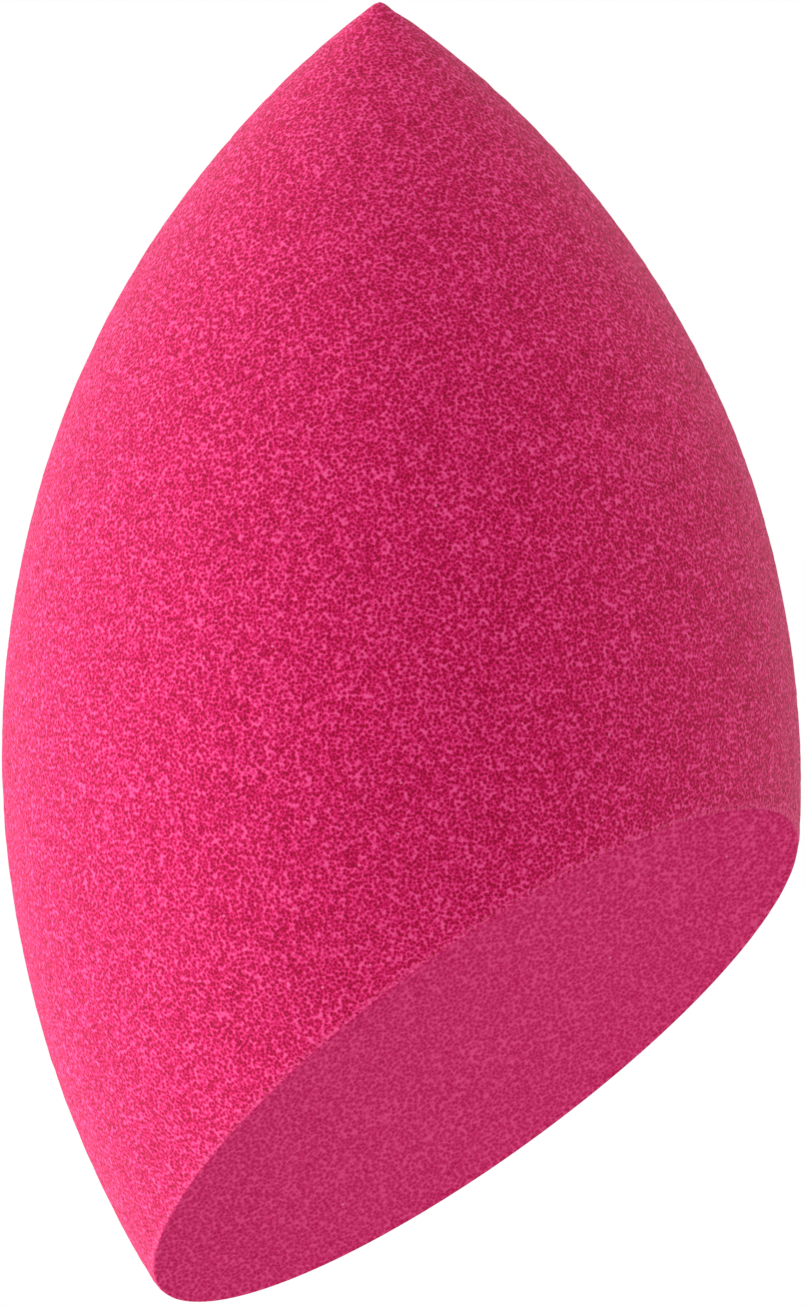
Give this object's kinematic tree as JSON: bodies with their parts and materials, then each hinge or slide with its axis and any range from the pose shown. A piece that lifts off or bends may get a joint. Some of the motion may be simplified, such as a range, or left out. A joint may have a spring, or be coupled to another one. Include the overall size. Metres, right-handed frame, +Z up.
{
  "type": "makeup sponge",
  "caption": "Pointed olive of soft open-cell foam with a slanted flat cut at its wide end, for dabbing and blending make-up on skin.",
  "frame": {"origin": "where the axis of the olive meets the slanted cut face", "axes": "+Z up out of the cut face, which is the face that the sponge stands on. The pointed end leans towards +X, and the XZ plane is the plane of symmetry."},
  "size_m": [0.0533, 0.04, 0.0435],
  "materials": {
    "foam": "matt open-cell polyurethane foam, bright pink, ground on the flank and knife-cut on the slanted face"
  },
  "bodies": {
    "root": {"sponge_body": "foam"}
  },
  "joints": []
}
